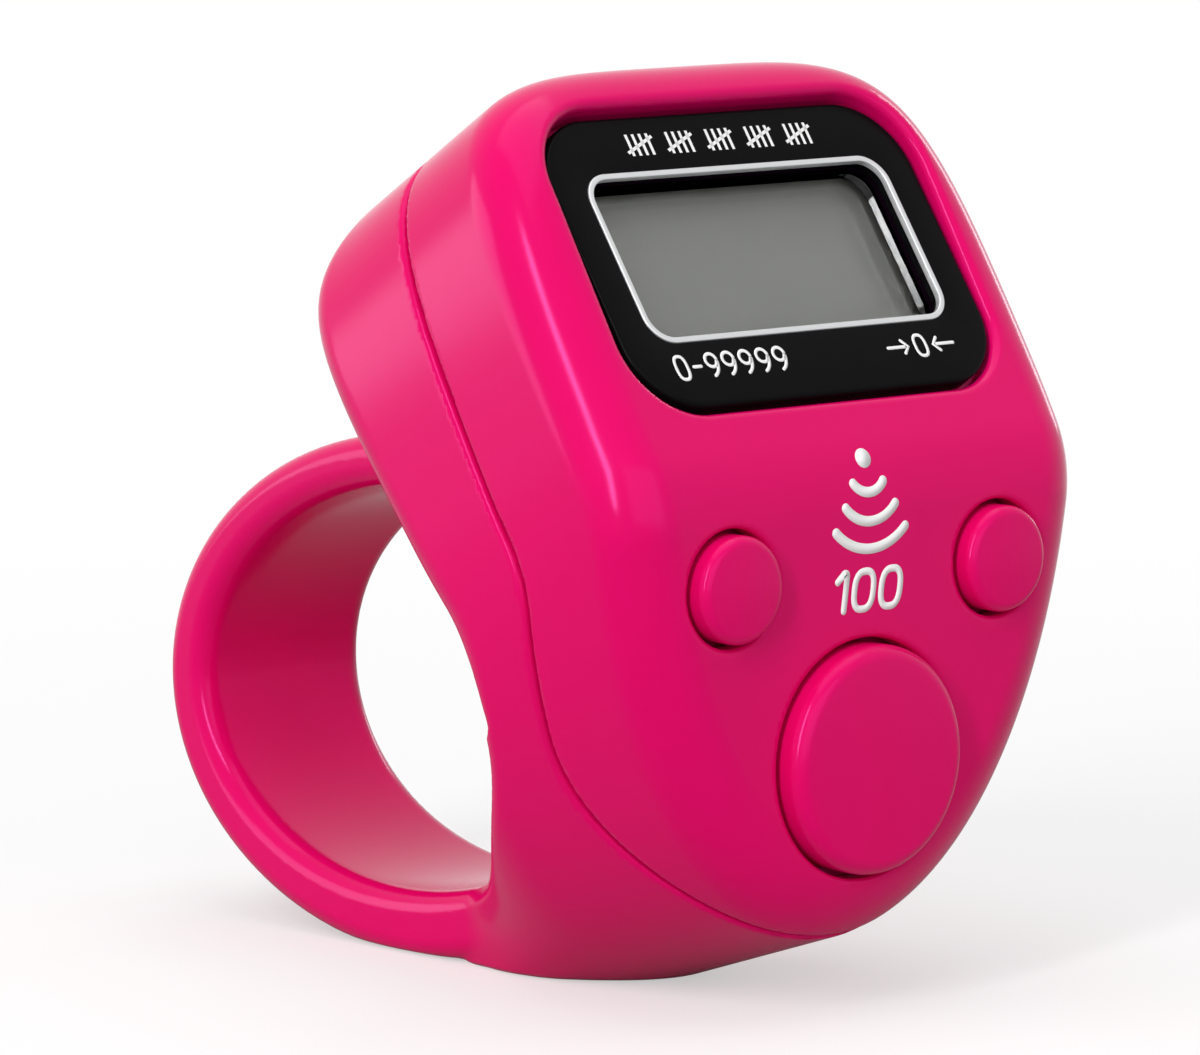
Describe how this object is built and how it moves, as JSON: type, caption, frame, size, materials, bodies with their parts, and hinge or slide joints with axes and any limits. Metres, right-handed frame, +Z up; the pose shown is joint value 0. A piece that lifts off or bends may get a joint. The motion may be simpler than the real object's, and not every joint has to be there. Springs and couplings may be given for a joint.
{
  "type": "tally counter",
  "caption": "Electronic tally counter worn on a finger: a two-part moulded head with a leaning display and press buttons, in one piece with a finger ring.",
  "frame": {"origin": "on the flat under the finger ring that the counter stands on, in its plane of symmetry", "axes": "+X to the right as the buttons are seen, +Y back from the key face through the ring, +Z up through the display"},
  "size_m": [0.03, 0.0462, 0.0433],
  "materials": {
    "pink_plastic": "glossy moulded pink",
    "black_plastic": "glossy black",
    "silver_print": "silver foil print",
    "clear_plastic": "clear window",
    "display_glass": "grey liquid crystal glass",
    "reflector_foil": "satin foil",
    "white_plastic": "matte white",
    "zebra_rubber": "striped contact rubber",
    "green_board": "solder-masked board",
    "screw_steel": "plated steel",
    "cell_steel": "satin nickel",
    "contact_steel": "sprung steel",
    "black_resin": "black resin",
    "capacitor_ceramic": "fired ceramic",
    "buzzer_brass": "rolled brass",
    "red_lead": "insulated lead",
    "black_lead": "insulated lead"
  },
  "bodies": {
    "case": {"front_shell": "pink_plastic", "rear_shell": "pink_plastic", "display_bezel": "black_plastic", "window_trim": "silver_print", "display_window": "clear_plastic", "lcd_front_glass": "display_glass", "lcd_rear_glass": "display_glass", "lcd_reflector": "reflector_foil", "lcd_frame": "white_plastic", "zebra_strip_upper": "zebra_rubber", "zebra_strip_lower": "zebra_rubber", "display_board": "green_board", "display_board_screw_1": "screw_steel", "display_board_screw_2": "screw_steel", "display_board_screw_3": "screw_steel", "display_board_screw_4": "screw_steel", "chip_blob": "black_resin", "crystal_can": "screw_steel", "capacitor_1": "capacitor_ceramic", "capacitor_2": "capacitor_ceramic", "battery_cell": "cell_steel", "battery_holder": "white_plastic", "contact_spring": "contact_steel", "contact_top": "contact_steel", "battery_door": "pink_plastic", "battery_door_screw": "screw_steel", "key_board": "green_board", "count_switch_base": "black_resin", "count_switch_cover": "contact_steel", "reset_switch_base": "black_resin", "reset_switch_cover": "contact_steel", "mode_switch_base": "black_resin", "mode_switch_cover": "contact_steel", "board_ribbon": "white_plastic", "case_screw_left": "screw_steel", "case_screw_right": "screw_steel", "buzzer_disc": "buzzer_brass", "buzzer_ceramic": "capacitor_ceramic", "buzzer_lead_red": "red_lead", "buzzer_lead_black": "black_lead"},
    "count_key": {"count_button": "pink_plastic"},
    "count_plunger": {"count_switch_plunger": "black_resin"},
    "reset_key": {"reset_button": "pink_plastic"},
    "reset_plunger": {"reset_switch_plunger": "black_resin"},
    "mode_key": {"mode_button": "pink_plastic"},
    "mode_plunger": {"mode_switch_plunger": "black_resin"}
  },
  "joints": [
    {"name": "count_press", "type": "slide", "parent": "case", "child": "count_key", "axis": [0, 1, 0], "range_m": [0, 0.0005], "stiffness_N_per_m": 3000, "springref_m": -0.00002},
    {"name": "reset_press", "type": "slide", "parent": "case", "child": "reset_key", "axis": [0, 1, 0], "range_m": [0, 0.0005], "stiffness_N_per_m": 3000, "springref_m": -0.00002},
    {"name": "mode_press", "type": "slide", "parent": "case", "child": "mode_key", "axis": [0, 1, 0], "range_m": [0, 0.0005], "stiffness_N_per_m": 3000, "springref_m": -0.00002},
    {"name": "count_plunger_press", "type": "slide", "parent": "case", "child": "count_plunger", "axis": [0, 1, 0], "range_m": [0, 0.0005]},
    {"name": "reset_plunger_press", "type": "slide", "parent": "case", "child": "reset_plunger", "axis": [0, 1, 0], "range_m": [0, 0.0005]},
    {"name": "mode_plunger_press", "type": "slide", "parent": "case", "child": "mode_plunger", "axis": [0, 1, 0], "range_m": [0, 0.0005]}
  ],
  "couplings": [
    {"joint": "count_plunger_press", "follows": "count_press", "ratio": 1},
    {"joint": "reset_plunger_press", "follows": "reset_press", "ratio": 1},
    {"joint": "mode_plunger_press", "follows": "mode_press", "ratio": 1}
  ]
}
